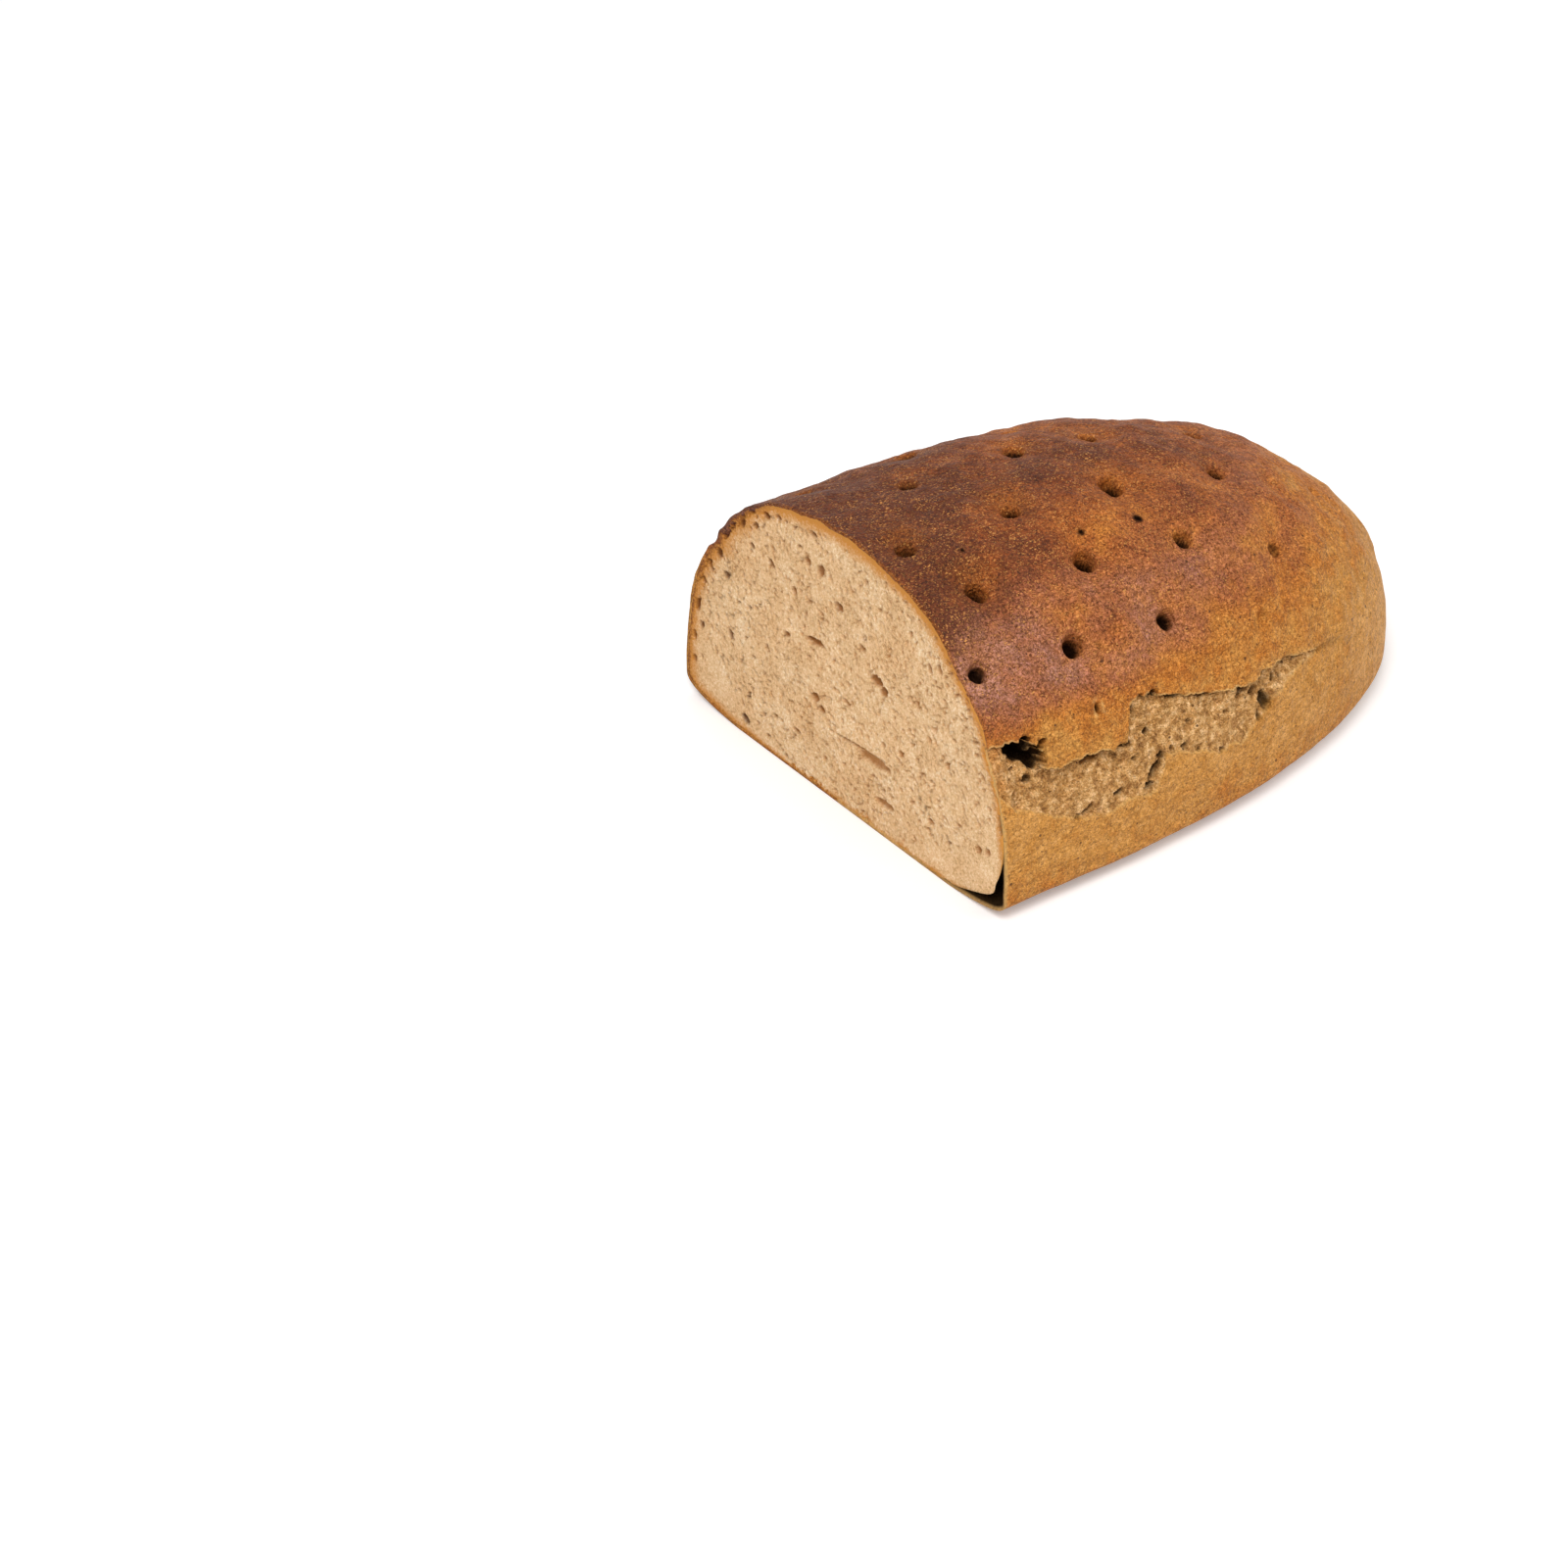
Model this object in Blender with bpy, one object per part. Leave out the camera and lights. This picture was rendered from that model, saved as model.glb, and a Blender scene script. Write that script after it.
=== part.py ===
"""Rye bread loaf, cut across: one closed solid standing on its flat base.

Frame: metres, +Z up, the length along X. The cut face looks along -X and the rounded heel
points to +X. The split in the crust is on the -Y side. The origin is the middle of the base.
"""

import math

import bmesh
import bpy
import numpy as np
from mathutils import Matrix, Vector, noise

MM = 0.001

# Body
LENGTH = 167 * MM          # cut face to heel
WIDTH = 130 * MM
HEIGHT = 77 * MM
STRAIGHT = 33 * MM         # even stretch behind the cut face, before the heel starts to round off
WIDEST_Z = 6.5 * MM        # height of the widest line
UNDER_DEPTH = 7.4 * MM     # reach of the underside's curve below the widest line; the base cuts it flat
NEAR_POWER = 2.32          # roundness of the upper section on the -Y side (2 is an ellipse)
FAR_POWER = 2.21           # the same on the +Y side
UNDER_POWER = 2.87
HEEL_POWER = 2.2
LUMP_SIZE = 26 * MM
LUMP_HEIGHT = 0.5 * MM

# Mesh steps over the body: along, across, up
STEPS_ALONG = 26
STEPS_ACROSS = 20
STEPS_UP = 15
UNDER_STEPS = 3
FLAT_ANGLE = math.radians(0.02)       # faces that turn less than this count as one plane

# Docking holes, in rows along the loaf: distance from the cut face, and Y
HOLES = (
    (3, -47), (33, -48), (61, -49), (91, -51),
    (17, -31), (48, -33), (78, -35), (104, -39),
    (10, -12.5), (41, -13), (72, -14.5), (105, -16),
    (29, 11.5), (60, 9.5), (83, 8.5), (116, 5.5),
    (12, 31), (43, 30), (74, 28), (101, 25),
    (24, 47), (56, 47), (86, 45),
)
HOLE_RADIUS = 3.4 * MM
HOLE_DEPTH = 5 * MM
DISH_RADIUS = 8 * MM
DISH_DEPTH = 0.9 * MM

# Split in the crust: distance from the cut face, and height
SPLIT_TOP = (
    (0, 45), (10, 44.5), (15, 38), (20, 35.3), (34, 34.5), (39, 33.5),
    (42, 42), (46, 43.5), (60, 39), (75, 35), (95, 34.5), (108, 31.5),
)
SPLIT_FOOT = (
    (0, 34), (5, 30), (15, 25), (24, 21.5), (45, 19.5),
    (51, 27), (68, 21.7), (80, 22.5), (90, 28.5), (108, 31),
)
SPLIT_DEPTH = 3.2 * MM
SPLIT_LENGTH = 108 * MM
LIP_WIDTH = 2 * MM
CAVITY_S, CAVITY_Z = 10 * MM, 42.5 * MM
CAVITY_HALF_LENGTH, CAVITY_HALF_HEIGHT = 6.5 * MM, 3.6 * MM
CAVITY_DEPTH = 4.5 * MM

# Dent in the outline on the far side of the cut
SHOULDER_S, SHOULDER_Y, SHOULDER_Z = 0, 52 * MM, 51 * MM
SHOULDER_RADIUS = 5 * MM
SHOULDER_DEPTH = 1.3 * MM

# Gap between crumb and crust at the cut's lower near corner, a flat drop in section
GAP_INNER = (-47 * MM, 2.4 * MM)      # (Y, Z) of its pointed end
GAP_OUTER = (-63 * MM, 7.4 * MM)      # (Y, Z) of its blunt end
GAP_HALF_THICKNESS = 2 * MM
GAP_DEPTH = 8 * MM
GAP_SIDES = 14
GAP_TAPER = 0.7

CUT_X = -LENGTH / 2
HEEL_START_X = CUT_X + STRAIGHT
HEEL_LENGTH = LENGTH - STRAIGHT


def smooth(low, high, value):
    """Return 0 below low, 1 above high and an S curve between."""
    t = min(max((value - low) / (high - low), 0.0), 1.0)
    return t * t * (3 - 2 * t)


def section_power(across, up):
    """Return the section's roundness in the quadrant of a point."""
    if up < 0:
        return UNDER_POWER
    return NEAR_POWER if across < 0 else FAR_POWER


def body_point(cube_point):
    """Map a point on the starting box onto the loaf's plain body."""
    along, across, up = cube_point
    up = up if up > 0 else up * STEPS_UP / UNDER_STEPS - up
    power = section_power(across, up)
    section = abs(across) ** power + abs(up) ** power
    heel = max(along, 0.0)
    if section + heel == 0:
        return Vector((CUT_X, 0, WIDEST_Z))
    if up > -1 and abs(across) < 1 and up < 1 and along < 1:
        reach = 1.0                                   # inside the cut face, not on the outer skin
    else:
        reach = (heel ** HEEL_POWER + section ** (HEEL_POWER / power)) ** (-1 / HEEL_POWER)
    x = HEEL_START_X + (reach * along * HEEL_LENGTH if along > 0 else along * HEEL_LENGTH)
    tall = HEIGHT - WIDEST_Z if up > 0 else UNDER_DEPTH
    z = WIDEST_Z + reach * up * tall
    return Vector((x, reach * across * WIDTH / 2, max(z, 0.0)))


def heel_scale(x):
    """Return how much the section has shrunk at x, from 1 in the straight part to 0."""
    along = min(max((x - HEEL_START_X) / HEEL_LENGTH, 0.0), 1.0)
    return (1 - along ** HEEL_POWER) ** (1 / HEEL_POWER)


def top_point(x, y):
    """Return the point of the upper skin over (x, y)."""
    power = section_power(y, 1)
    rest = heel_scale(x) ** power - abs(2 * y / WIDTH) ** power
    return Vector((x, y, WIDEST_Z + (HEIGHT - WIDEST_Z) * max(rest, 0.0) ** (1 / power)))


def top_normal(x, y):
    """Return the upper skin's outward normal over (x, y)."""
    step = 0.5 * MM
    along = top_point(x + step, y) - top_point(x - step, y)
    across = top_point(x, y + step) - top_point(x, y - step)
    return along.cross(across).normalized()


def hole_axes():
    """Return each docking hole's mouth and its outward axis, which leans towards upright."""
    axes = []
    for distance, y in HOLES:
        mouth = top_point(CUT_X + distance * MM, y * MM)
        outward = top_normal(mouth.x, mouth.y)
        axes.append((mouth, (outward + Vector((0, 0, 0.6))).normalized()))
    return axes


def hole_offset(point, axes):
    """Return the push that the docking holes and their dishes give a point of the skin."""
    offset = Vector()
    for mouth, axis in axes:
        away = point - mouth
        radial = (away - away.dot(axis) * axis).length
        if radial < 3 * DISH_RADIUS:
            core = HOLE_DEPTH * (1 - smooth(0.25 * HOLE_RADIUS, 1.15 * HOLE_RADIUS, radial))
            dish = DISH_DEPTH * math.exp(-((radial / DISH_RADIUS) ** 2))
            offset -= axis * (core + dish)
    return offset


def split_heights(distance):
    """Return the heights of the split's top lip and foot at a distance from the cut."""
    top = np.interp(distance / MM, *zip(*SPLIT_TOP)) * MM
    foot = np.interp(distance / MM, *zip(*SPLIT_FOOT)) * MM
    return top, foot


def split_recess(point):
    """Return how far the torn zone lies under the skin, with the cavity under its lip."""
    distance = point.x - CUT_X
    if point.y > 0 or distance > SPLIT_LENGTH:
        return 0.0
    top, foot = split_heights(distance)
    recess = 0.0
    if foot < point.z < top:
        under_lip = smooth(0, LIP_WIDTH, top - point.z)
        towards_foot = (point.z - foot) / (top - foot)
        fade = 1 - smooth(0.75 * SPLIT_LENGTH, SPLIT_LENGTH, distance)
        recess = SPLIT_DEPTH * under_lip * towards_foot ** 0.8 * fade
        recess *= 0.5 + 0.5 * smooth(0, 6 * MM, distance)
    along = (distance - CAVITY_S) / CAVITY_HALF_LENGTH
    up = (point.z - CAVITY_Z) / CAVITY_HALF_HEIGHT
    cavity = math.hypot(along, up)
    return recess + CAVITY_DEPTH * (1 - smooth(0.1, 1.1, cavity))


def lump(point):
    """Return the skin's soft unevenness, none on the widest line and below it."""
    return LUMP_HEIGHT * noise.noise(point / LUMP_SIZE) * smooth(2 * WIDEST_Z, 5 * WIDEST_Z, point.z)


def shoulder_dent(point):
    """Return the depth of the dent on the far side of the cut."""
    away = (point - Vector((CUT_X + SHOULDER_S, SHOULDER_Y, SHOULDER_Z))).length
    return SHOULDER_DEPTH * (1 - smooth(0, 1, away / SHOULDER_RADIUS))


def near_detail(point, margin):
    """Tell whether a point of the skin is close enough to a hole or the split to need fine faces."""
    distance = point.x - CUT_X
    if point.z > 2 * WIDEST_Z:
        for hole_distance, hole_y in HOLES:
            mouth = top_point(CUT_X + hole_distance * MM, hole_y * MM)
            if (point - mouth).length < HOLE_RADIUS + margin:
                return True
    if point.y > 0 or distance > SPLIT_LENGTH:
        return False
    top, foot = split_heights(distance)
    return foot - margin / 2 < point.z < top + margin / 2


def starting_box(bm):
    """Make the box that the body is mapped from, cut into even steps along, across and up."""
    bmesh.ops.create_cube(bm, size=2)
    low = Vector((-STRAIGHT / HEEL_LENGTH, -1, -UNDER_STEPS / (STEPS_UP - UNDER_STEPS)))
    for vert in bm.verts:
        for axis in range(3):
            if vert.co[axis] < 0:
                vert.co[axis] = low[axis]
    for axis, steps in enumerate((STEPS_ALONG, STEPS_ACROSS, STEPS_UP)):
        edges = [e for e in bm.edges if abs(e.verts[0].co[axis] - e.verts[1].co[axis]) > 1e-6]
        bmesh.ops.subdivide_edges(bm, edges=edges, cuts=steps - 1)


def refine(bm, cut_plane):
    """Halve the faces near the holes and the split, twice, the second time closer in."""
    for margin in (4.5 * MM, 1.5 * MM):
        edges = set()
        for face in bm.faces:
            centre = face.calc_center_median()
            if centre.x > cut_plane and near_detail(body_point(centre), margin):
                edges.update(face.edges)
        bmesh.ops.subdivide_edges(bm, edges=list(edges), cuts=1, use_grid_fill=True)


def shape_skin(bm, rim):
    """Move the mapped skin's points in for the holes, the split and the dent, and add the lumps."""
    axes = hole_axes()
    bm.normal_update()
    moved = {}
    for vert in bm.verts:
        if vert.co.z < WIDEST_Z or (vert.co.x < CUT_X + 1e-6 and vert not in rim):
            continue
        normal = vert.normal.copy()
        offset = hole_offset(vert.co, axes)
        if vert in rim:
            normal.x = 0
            normal.normalize()
            offset.x = 0
        depth = split_recess(vert.co) + shoulder_dent(vert.co) - lump(vert.co)
        moved[vert] = vert.co + offset - normal * depth
    for vert, place in moved.items():
        vert.co = place


def dissolve_flat(bm, axis, place):
    """Join the faces that lie in one plane across an axis into one flat face."""
    verts = [v for v in bm.verts if abs(v.co[axis] - place) < 1e-6]
    inside = set(verts)
    edges = [e for e in bm.edges if e.verts[0] in inside and e.verts[1] in inside]
    bmesh.ops.dissolve_limit(
        bm, angle_limit=FLAT_ANGLE, use_dissolve_boundaries=False, verts=verts, edges=edges)


def bread_material():
    """Make the plain crust finish."""
    material = bpy.data.materials.new("rye_crust")
    material.use_nodes = True
    shader = material.node_tree.nodes["Principled BSDF"]
    shader.inputs["Base Color"].default_value = (0.34, 0.13, 0.045, 1)
    shader.inputs["Roughness"].default_value = 0.62
    shader.inputs["Metallic"].default_value = 0
    return material


def make_loaf():
    """Make the loaf before its corner gap is cut."""
    bm = bmesh.new()
    starting_box(bm)
    cut_plane = -STRAIGHT / HEEL_LENGTH + 1e-6
    refine(bm, cut_plane)
    on_plane = [v for v in bm.verts if v.co.x < cut_plane]
    rim = {v for v in on_plane if any(other.co.x > cut_plane for e in v.link_edges for other in e.verts)}
    for vert in bm.verts:
        vert.co = body_point(vert.co)
    shape_skin(bm, rim)
    dissolve_flat(bm, 0, CUT_X)
    dissolve_flat(bm, 2, 0.0)
    bmesh.ops.recalc_face_normals(bm, faces=bm.faces[:])
    mesh = bpy.data.meshes.new("loaf")
    bm.to_mesh(mesh)
    bm.free()
    mesh.shade_smooth()
    mesh.set_sharp_from_angle(angle=math.radians(40))
    mesh.materials.append(bread_material())
    loaf = bpy.data.objects.new("loaf", mesh)
    bpy.context.scene.collection.objects.link(loaf)
    return loaf


def make_gap_cutter():
    """Make the drop-shaped cutter that opens the gap between crumb and crust at the corner."""
    bm = bmesh.new()
    bmesh.ops.create_circle(bm, cap_ends=True, segments=GAP_SIDES, radius=1)
    inner, outer = Vector(GAP_INNER), Vector(GAP_OUTER)
    half = (outer - inner) / 2
    middle = (outer + inner) / 2
    side = Vector((-half.y, half.x)).normalized() * GAP_HALF_THICKNESS
    for vert in bm.verts:
        spread = 0.15 + 0.85 * (vert.co.x + 1) / 2
        place = middle + half * vert.co.x + side * vert.co.y * spread
        vert.co = (CUT_X - MM, place.x, place.y)
    front = bm.faces[:]
    grown = bmesh.ops.extrude_face_region(bm, geom=front)
    back = [v for v in grown["geom"] if isinstance(v, bmesh.types.BMVert)]
    bmesh.ops.translate(bm, verts=back, vec=(GAP_DEPTH + MM, 0, 0))
    centre = Vector((CUT_X + GAP_DEPTH, middle.x, middle.y + 1.5 * GAP_HALF_THICKNESS))
    bmesh.ops.scale(bm, verts=back, vec=(GAP_TAPER,) * 3, space=Matrix.Translation(-centre))
    bmesh.ops.recalc_face_normals(bm, faces=bm.faces[:])
    mesh = bpy.data.meshes.new("corner_gap")
    bm.to_mesh(mesh)
    bm.free()
    cutter = bpy.data.objects.new("corner_gap", mesh)
    cutter.hide_render = True
    cutter.display_type = 'WIRE'
    bpy.context.scene.collection.objects.link(cutter)
    return cutter


for old in list(bpy.data.objects):
    bpy.data.objects.remove(old, do_unlink=True)

loaf_object = make_loaf()
gap_cut = loaf_object.modifiers.new("corner_gap", 'BOOLEAN')
gap_cut.operation = 'DIFFERENCE'
gap_cut.solver = 'EXACT'
gap_cut.object = make_gap_cutter()
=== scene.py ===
import math
import random

import bmesh
import bpy
import numpy as np
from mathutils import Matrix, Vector, kdtree, noise


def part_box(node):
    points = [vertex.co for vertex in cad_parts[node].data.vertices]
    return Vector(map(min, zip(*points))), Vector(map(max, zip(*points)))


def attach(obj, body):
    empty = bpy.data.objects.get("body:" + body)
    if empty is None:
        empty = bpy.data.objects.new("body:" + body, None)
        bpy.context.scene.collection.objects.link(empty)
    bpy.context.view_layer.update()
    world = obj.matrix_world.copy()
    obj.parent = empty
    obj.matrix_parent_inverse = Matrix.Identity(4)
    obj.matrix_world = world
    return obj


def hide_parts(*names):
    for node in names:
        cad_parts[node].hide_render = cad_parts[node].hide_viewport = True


mm = 0.001

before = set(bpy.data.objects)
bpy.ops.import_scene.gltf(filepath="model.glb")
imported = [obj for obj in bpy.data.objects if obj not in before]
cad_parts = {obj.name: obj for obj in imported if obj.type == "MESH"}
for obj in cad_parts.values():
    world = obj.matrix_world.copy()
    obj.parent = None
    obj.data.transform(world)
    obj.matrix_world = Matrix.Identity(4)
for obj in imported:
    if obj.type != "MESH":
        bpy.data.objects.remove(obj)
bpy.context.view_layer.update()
lowCorner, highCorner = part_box("loaf")
cutX = lowCorner.x
loafLength = highCorner.x - lowCorner.x
loafWidth = highCorner.y - lowCorner.y
print("frame loaded, loaf is %.0f mm long" % (loafLength / mm))


def softStep(low, high, value):
    t = min(max((value - low) / (high - low), 0.0), 1.0)
    return t * t * (3 - 2 * t)


def grain(point, size):
    return noise.noise(Vector(point) / size)  # about -1 to 1


def linear(red, green, blue):
    channels = []
    for value in (red, green, blue):
        value /= 255
        channels.append(value / 12.92 if value <= 0.04045 else ((value + 0.055) / 1.055) ** 2.4)
    return (*channels, 1.0)


# the body that crust and crumb share

body = {
    "height": 77 * mm,
    "straight": 33 * mm,       # even stretch behind the cut
    "widestHeight": 6.5 * mm,
    "underDepth": 7.4 * mm,    # the base cuts this curve off flat
    "nearPower": 2.32,         # roundness of the section, 2 is an ellipse
    "farPower": 2.21,
    "underPower": 2.87,
    "heelPower": 2.2,
}
heelStart = cutX + body["straight"]
heelLength = loafLength - body["straight"]
upperHeight = body["height"] - body["widestHeight"]


def sectionPower(across, up):
    if up < 0:
        return body["underPower"]
    return body["nearPower"] if across < 0 else body["farPower"]


def bodyPoint(along, across, up):  # a point on the box from -1 to 1 becomes one on the loaf's skin
    power = sectionPower(across, up)
    section = abs(across) ** power + abs(up) ** power
    heel = max(along, 0.0) ** body["heelPower"]
    reach = (heel + section ** (body["heelPower"] / power)) ** (-1 / body["heelPower"])
    x = heelStart + heelLength * (reach * along if along > 0 else along)
    tall = upperHeight if up > 0 else body["underDepth"]
    return Vector((x, reach * across * loafWidth / 2, max(body["widestHeight"] + reach * up * tall, 0)))


def topPoint(distance, y):  # the skin's point at a distance from the cut, over y
    x = cutX + distance
    along = min(max((x - heelStart) / heelLength, 0), 1)
    power = sectionPower(y, 1)
    shrink = (1 - along ** body["heelPower"]) ** (1 / body["heelPower"])
    rest = max(shrink ** power - abs(2 * y / loafWidth) ** power, 0)
    return Vector((x, y, body["widestHeight"] + upperHeight * rest ** (1 / power)))


def topNormal(distance, y):
    step = 0.5 * mm
    along = topPoint(distance + step, y) - topPoint(distance - step, y)
    across = topPoint(distance, y + step) - topPoint(distance, y - step)
    return along.cross(across).normalized()


# docking holes: distance from the cut, y, radius, depth, all in mm

holes = {
    "places": (
        (5.5, -46.7, 2.8, 4.6), (33, -48.3, 3.1, 6.4), (61, -49.3, 2.7, 5.4), (90.7, -51, 2.2, 1.2),
        (17, -31, 3.0, 6.8), (48.3, -33.3, 3.0, 6.6), (78.1, -34.8, 2.7, 5.0), (104.4, -39.3, 2.4, 1.8),
        (9.7, -12.5, 2.5, 5.6), (41, -13.1, 2.6, 3.6), (71.7, -14.6, 3.4, 5.2), (105.4, -15.8, 2.6, 3.6),
        (28.9, 11.5, 2.6, 2.2), (60.3, 9.6, 3.1, 2.6), (83.1, 8.6, 2.7, 3.0), (116, 5.4, 2.6, 2.4),
        (134, -8, 2.4, 1.0), (136, -19, 2.2, 0.9),
        (12, 31, 3.0, 1.6), (43, 30, 3.2, 1.9), (74, 28, 2.8, 3.8), (101, 25, 2.8, 1.6),
        (24, 47, 3.1, 2.2), (56, 47, 2.9, 2.8), (86, 45, 2.8, 2.0),
    ),
    "lean": Vector((-0.1, -0.1, 0.5)),   # the pins went in nearly upright, not square to the crust
    "dishRadius": 7 * mm,
    "dishDepth": 1.9 * mm,     # round a hole of the usual depth
    "usualDepth": 5 * mm,
    "floorShare": 0.32,        # of the radius, where the wall starts
    "mouthShare": 1.12,        # of the radius, where it ends
    "glowRadius": 5.5 * mm,
    "glowShift": Vector((2.0, 3.5, 0)) * mm,   # the less browned slope lies beside the hole
}


def dockingHoles():
    found = []
    for distance, y, radius, depth in holes["places"]:
        mouth = topPoint(distance * mm, y * mm)
        outward = topNormal(distance * mm, y * mm)
        axis = (outward + holes["lean"]).normalized()
        found.append((mouth, axis, radius * mm, depth * mm))
    return found


# the split on the near side: distance from the cut and height, in mm

split = {
    "top": ((0, 45), (4.5, 45.4), (10.5, 44.6), (14.5, 41), (15, 36.5), (19, 35), (27, 35.7), (34, 34.5),
            (39, 33.4), (40.4, 37.3), (42, 42.4), (45, 43.7), (53, 41.4), (60, 39), (68, 36.5), (75, 34.9),
            (82, 33.9), (87, 35.5), (94.5, 34.8), (100.5, 33.5), (108, 31.4)),
    "foot": ((0, 34), (4.5, 30), (14, 25.4), (24, 21.5), (30, 19.4), (37, 20.8), (47, 19.6), (50, 24.6),
             (51, 28.4), (56, 27), (67.5, 21.7), (76.5, 21.4), (81, 23.1), (85, 26), (89, 28.4),
             (96.5, 30.2), (108, 31)),
    "depth": ((0, 1.2), (4, 2.0), (8, 3.4), (20, 3.4), (38, 3.0), (43, 1.8), (60, 1.5), (75, 1.6),
              (86, 2.4), (95, 1.8), (108, 0.3)),
    "length": 108 * mm,
    "topJag": 0.75 * mm,
    "footJag": 1.1 * mm,
    "lumps": ((6 * mm, 0.7 * mm), (2.6 * mm, 0.5 * mm), (1.1 * mm, 0.25 * mm)),   # size and height
    "poreSize": 1.7 * mm,
    "poreDepth": 0.8 * mm,
    "undercut": 1.2 * mm,      # how much deeper it goes under parts of the top lip
    "tuck": 1.2 * mm,          # how far the torn crumb reaches up behind the top lip
    "cavityDepth": 6 * mm,
    # the ovals of the hole under the top lip: distance, height, half sizes and turn in degrees
    "cavity": (
        (9.2, 42.3, 4.6, 2.2, -24), (12.4, 39.6, 3.0, 2.1, -44), (14.6, 42.6, 1.7, 0.8, 25),
        (10.4, 44.7, 1.6, 0.8, 0),
    ),
    "cavityReach": 25 * mm,    # no part of the cavity is farther from the cut
    "crackReach": 5,           # no crack reaches farther from its middle, in mm
    "cracks": (   # distance, height, half sizes, turn and depth
        (10.4, 35.3, 1.5, 1.0, -20, 1.7), (6.6, 38.6, 0.5, 0.5, 0, 1.0), (30.3, 33.7, 3.6, 0.7, 4, 1.7),
        (37.6, 34.0, 1.9, 1.0, 0, 2.4), (40.9, 33.6, 1.0, 0.7, 0, 1.6), (47.6, 24.6, 3.0, 1.0, 44, 2.6),
        (50.0, 27.6, 1.0, 1.0, 0, 1.8), (45.2, 21.4, 1.8, 0.8, 10, 2.0), (36.4, 22.8, 1.5, 0.9, 10, 2.1),
        (26.4, 21.9, 1.9, 0.6, 15, 2.0), (22.4, 21.8, 1.4, 0.5, 0, 1.2), (46.3, 35.0, 1.1, 0.9, -20, 1.8),
        (43.3, 41.3, 0.9, 1.2, 0, 1.8), (45.6, 43.6, 1.0, 0.6, 10, 1.6), (50.2, 43.0, 1.5, 0.9, 0, 2.2),
        (56.4, 40.1, 2.6, 0.6, -14, 2.0), (65.6, 37.1, 2.4, 0.6, -12, 2.0), (56.8, 27.8, 1.0, 0.7, 0, 1.8),
        (52.8, 28.6, 0.7, 0.6, 0, 1.4), (61.4, 25.0, 0.6, 0.5, 0, 1.2), (69.3, 21.9, 1.0, 0.7, 0, 1.6),
        (79.2, 33.2, 2.6, 0.9, 14, 2.0), (83.4, 31.4, 1.2, 1.3, 0, 1.7), (86.2, 34.6, 1.6, 1.0, -5, 2.2),
        (86.2, 28.0, 1.7, 2.2, 10, 2.8), (83.2, 25.0, 0.8, 1.4, -10, 2.0), (90.4, 32.0, 1.2, 0.9, 0, 1.5),
        (95.2, 34.4, 2.2, 0.7, -6, 1.8), (100.3, 33.0, 1.4, 0.5, -14, 1.5), (93.0, 31.0, 0.7, 0.6, 0, 1.2),
        (42.0, 29.5, 0.7, 0.6, 0, 1.3), (59.5, 33.0, 0.6, 0.5, 0, 1.1), (72.5, 30.2, 0.7, 0.5, 0, 1.2),
    ),
    "crease": ((108, 31.4), (118, 29.5), (124, 26.6), (133, 22.9)),
}


def along(table, distance):
    return float(np.interp(distance / mm, *zip(*table))) * mm


def splitEdges(distance):
    spot = distance / mm
    top = along(split["top"], distance)
    top += split["topJag"] * (grain((spot, 3.1, 0), 2.6) + 0.5 * grain((spot, 8.2, 0), 1.1))
    foot = along(split["foot"], distance)
    foot += split["footJag"] * (grain((spot, 21.7, 0), 4.0) + 0.6 * grain((spot, 27.3, 0), 1.5))
    return top, foot


def tornShape(point):  # how deep and how torn the near side is at a point, and how far under the lip
    distance = point.x - cutX
    if point.y > 0 or distance > split["length"]:
        return 0, 0, 0
    top, foot = splitEdges(distance)
    if not foot < point.z < top:
        return 0, 0, 0
    belowTop = top - point.z
    share = belowTop / max(top - foot, 0.1 * mm)
    depth = along(split["depth"], distance) * (1 - 0.75 * softStep(0.1, 1.0, share))
    depth *= softStep(0, 0.8 * mm, point.z - foot) * 0.7 + 0.3
    for size, height in split["lumps"]:
        depth += height * grain(point, size)
    depth += split["poreDepth"] * softStep(0.12, 0.5, grain(point + Vector((9, 0, 0)), split["poreSize"]))
    hollowed = softStep(-0.1, 0.3, grain((distance / mm, 5.5, 0), 4))
    depth += split["undercut"] * hollowed * (1 - softStep(0, 1.1 * mm, belowTop))
    tucked = 1 - softStep(0, 1.6 * mm, belowTop)
    # next to the cut the skin is stretched and only half torn
    skinned = 1 - softStep(1 * mm, 6 * mm, distance + 1.5 * mm * grain(point, 3 * mm))
    return max(depth, 0.15 * mm) * (1 - 0.4 * skinned), 1 - 0.5 * skinned, tucked


# 0 at the middle of an oval on the near side, 1 on its edge
def within(point, x, z, halfLength, halfHeight, turn):
    overX, overZ = (point.x - cutX) / mm - x, point.z / mm - z
    cosTurn, sinTurn = math.cos(math.radians(turn)), math.sin(math.radians(turn))
    lengthwise = (overX * cosTurn + overZ * sinTurn) / halfLength
    crosswise = (overZ * cosTurn - overX * sinTurn) / halfHeight
    return math.hypot(lengthwise, crosswise)


def cavityShape(point):  # how deep it is and how much painted shade it gets, dark up to its edge
    if point.y > 0 or point.x - cutX > split["cavityReach"]:
        return 0, 0
    ragged = 0.25 * grain(point, 1.1 * mm) + 0.12 * grain(point, 2.5 * mm)
    nearest = min(within(point, *part) for part in split["cavity"]) + ragged
    return 1 - softStep(0.5, 1.06, nearest), 1 - softStep(0.92, 1.14, nearest)


def crackShape(point):  # depth in mm
    if point.y > 0 or point.x - cutX > split["length"]:
        return 0
    ragged = 0.25 * grain(point, 0.9 * mm)
    deepest = 0
    for *oval, depth in split["cracks"]:
        if abs((point.x - cutX) / mm - oval[0]) < split["crackReach"]:
            away = within(point, *oval) + ragged
            deepest = max(deepest, depth * (1 - softStep(0.5, 1.25, away)))
    return deepest


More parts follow.
